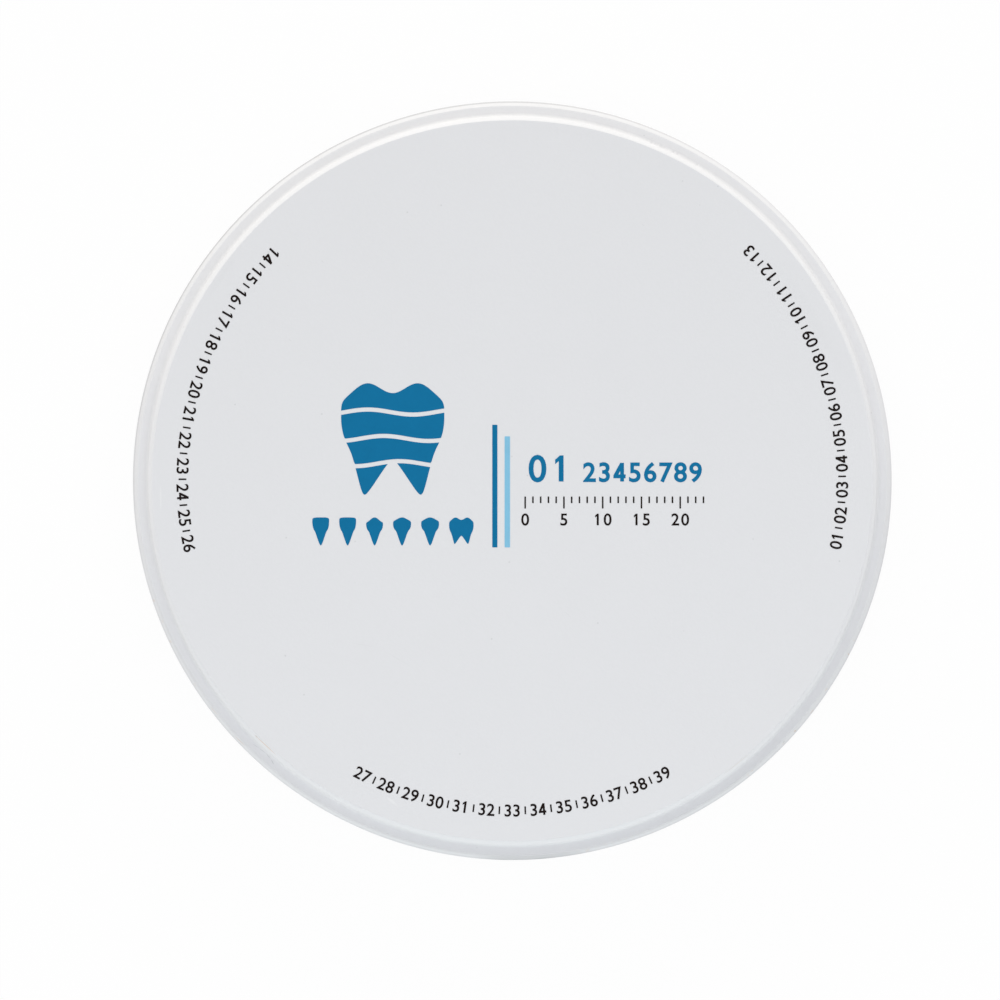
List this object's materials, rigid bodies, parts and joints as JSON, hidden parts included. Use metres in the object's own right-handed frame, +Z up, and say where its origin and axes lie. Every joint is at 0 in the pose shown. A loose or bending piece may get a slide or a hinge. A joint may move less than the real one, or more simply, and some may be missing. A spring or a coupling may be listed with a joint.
{
  "type": "dental milling disc",
  "caption": "Round dental milling disc of presintered zirconia: a flat white blank with a clamping collar round its middle, a ledge on each side of it, and print on its upper face.",
  "frame": {"origin": "centre of the lower face, on the disc's axis", "axes": "+Z up along the disc's axis, towards the printed face; +Y towards the top of the print; +X towards its right"},
  "size_m": [0.098, 0.098, 0.014],
  "materials": {
    "zirconia": "matte",
    "deep_blue_ink": "matte",
    "pale_blue_ink": "matte",
    "black_ink": "matte"
  },
  "bodies": {
    "root": {"milling_disc": "zirconia"}
  },
  "joints": []
}
